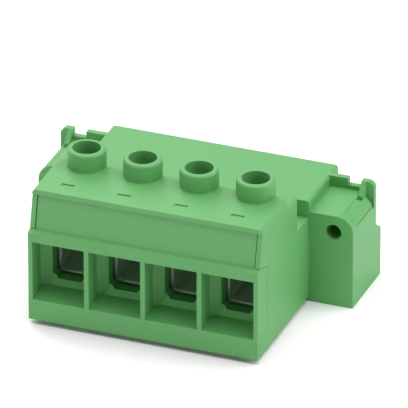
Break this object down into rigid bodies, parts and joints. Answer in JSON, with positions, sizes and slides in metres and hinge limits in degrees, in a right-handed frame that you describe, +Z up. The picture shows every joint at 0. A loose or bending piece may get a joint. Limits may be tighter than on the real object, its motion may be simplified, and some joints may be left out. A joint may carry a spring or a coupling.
{
  "type": "pluggable terminal block",
  "caption": "Pluggable terminal block for heavy wire: collared clamp screws, wire funnels, stepped housing and a screw flange at each end.",
  "frame": {"origin": "under the middle of the block, on the plane of the flanges' and mating block's underside", "axes": "+X along the row of poles, +Y from the wire side to the mating side, +Z up through the screw collars"},
  "size_m": [0.0844, 0.057, 0.0413],
  "materials": {
    "housing_plastic": "fine satin moulding",
    "cover_plastic": "fine satin moulding",
    "sleeve_steel": "zinc plated, dull",
    "screw_steel": "zinc plated",
    "contact_copper": "tin plated copper alloy",
    "spring_steel": "bright rolled"
  },
  "bodies": {
    "block": {"housing": "housing_plastic", "front_cover": "cover_plastic", "contact_1": "contact_copper", "contact_spring_1": "spring_steel", "contact_2": "contact_copper", "contact_spring_2": "spring_steel", "contact_3": "contact_copper", "contact_spring_3": "spring_steel", "contact_4": "contact_copper", "contact_spring_4": "spring_steel"},
    "sleeve_1": {"tension_sleeve_1": "sleeve_steel"},
    "screw_1": {"clamp_screw_1": "screw_steel"},
    "sleeve_2": {"tension_sleeve_2": "sleeve_steel"},
    "screw_2": {"clamp_screw_2": "screw_steel"},
    "sleeve_3": {"tension_sleeve_3": "sleeve_steel"},
    "screw_3": {"clamp_screw_3": "screw_steel"},
    "sleeve_4": {"tension_sleeve_4": "sleeve_steel"},
    "screw_4": {"clamp_screw_4": "screw_steel"},
    "lock_left": {"lock_screw_left": "screw_steel"},
    "lock_right": {"lock_screw_right": "screw_steel"}
  },
  "joints": [
    {"name": "screw_turn_1", "type": "hinge", "parent": "block", "child": "screw_1", "pos_m": [-0.0225, -0.0088, 0.0334], "axis": [0, 0, -1], "range_deg": [0, 2881]},
    {"name": "sleeve_lift_1", "type": "slide", "parent": "block", "child": "sleeve_1", "axis": [0, 0, 1], "range_m": [0, 0.008]},
    {"name": "screw_turn_2", "type": "hinge", "parent": "block", "child": "screw_2", "pos_m": [-0.0075, -0.0088, 0.0334], "axis": [0, 0, -1], "range_deg": [0, 2881]},
    {"name": "sleeve_lift_2", "type": "slide", "parent": "block", "child": "sleeve_2", "axis": [0, 0, 1], "range_m": [0, 0.008]},
    {"name": "screw_turn_3", "type": "hinge", "parent": "block", "child": "screw_3", "pos_m": [0.0075, -0.0088, 0.0334], "axis": [0, 0, -1], "range_deg": [0, 2881]},
    {"name": "sleeve_lift_3", "type": "slide", "parent": "block", "child": "sleeve_3", "axis": [0, 0, 1], "range_m": [0, 0.008]},
    {"name": "screw_turn_4", "type": "hinge", "parent": "block", "child": "screw_4", "pos_m": [0.0225, -0.0088, 0.0334], "axis": [0, 0, -1], "range_deg": [0, 2881]},
    {"name": "sleeve_lift_4", "type": "slide", "parent": "block", "child": "sleeve_4", "axis": [0, 0, 1], "range_m": [0, 0.008]},
    {"name": "lock_turn_left", "type": "hinge", "parent": "block", "child": "lock_left", "pos_m": [-0.03705, 0.0175, 0.0207], "axis": [0, 1, 0], "continuous": true},
    {"name": "lock_turn_right", "type": "hinge", "parent": "block", "child": "lock_right", "pos_m": [0.03705, 0.0175, 0.0207], "axis": [0, 1, 0], "continuous": true}
  ],
  "couplings": [
    {"joint": "screw_turn_1", "follows": "sleeve_lift_1", "rad_per_m": 6283.2},
    {"joint": "screw_turn_2", "follows": "sleeve_lift_2", "rad_per_m": 6283.2},
    {"joint": "screw_turn_3", "follows": "sleeve_lift_3", "rad_per_m": 6283.2},
    {"joint": "screw_turn_4", "follows": "sleeve_lift_4", "rad_per_m": 6283.2}
  ]
}
